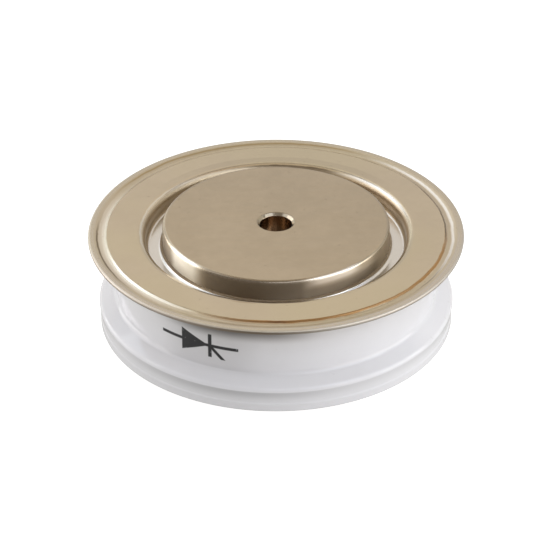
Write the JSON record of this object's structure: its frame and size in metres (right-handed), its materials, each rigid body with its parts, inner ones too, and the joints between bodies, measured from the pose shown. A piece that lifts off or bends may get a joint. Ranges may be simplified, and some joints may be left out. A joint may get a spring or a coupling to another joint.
{
  "type": "thyristor",
  "caption": "Press-pack disc thyristor: glazed ceramic ring between flanged, nickel-plated pole pieces, with centring holes and a radial gate pin.",
  "frame": {"origin": "centre of the lower (anode) contact face", "axes": "+Z along the device's axis from the anode face to the cathode face under the lid; +Y along the gate terminal"},
  "size_m": [0.042, 0.046, 0.0144],
  "materials": {
    "glazed_alumina": "white gloss glaze",
    "nickel_plate": "satin nickel plating on copper and sheet",
    "nickel": "bright drawn nickel",
    "silver": "rolled silver",
    "molybdenum": "lapped",
    "silicon": "polished",
    "silicone_rubber": "cast bead",
    "ptfe": "turned",
    "plated_brass": "plated",
    "spring_steel": "drawn wire"
  },
  "bodies": {
    "root": {"ceramic_ring": "glazed_alumina", "cathode_pole": "nickel_plate", "cathode_flange": "nickel_plate", "weld_ring": "nickel_plate", "anode_pole": "nickel_plate", "anode_flange": "nickel_plate", "anode_foil": "silver", "anode_moly_disc": "molybdenum", "silicon_wafer": "silicon", "edge_coating": "silicone_rubber", "cathode_moly_disc": "molybdenum", "cathode_foil": "silver", "locating_ring": "ptfe", "gate_pin": "plated_brass", "gate_spring": "spring_steel", "gate_insulator": "ptfe", "gate_lead": "silver", "gate_lead_sleeve": "ptfe", "gate_tube": "nickel", "gate_eyelet": "nickel"}
  },
  "joints": []
}
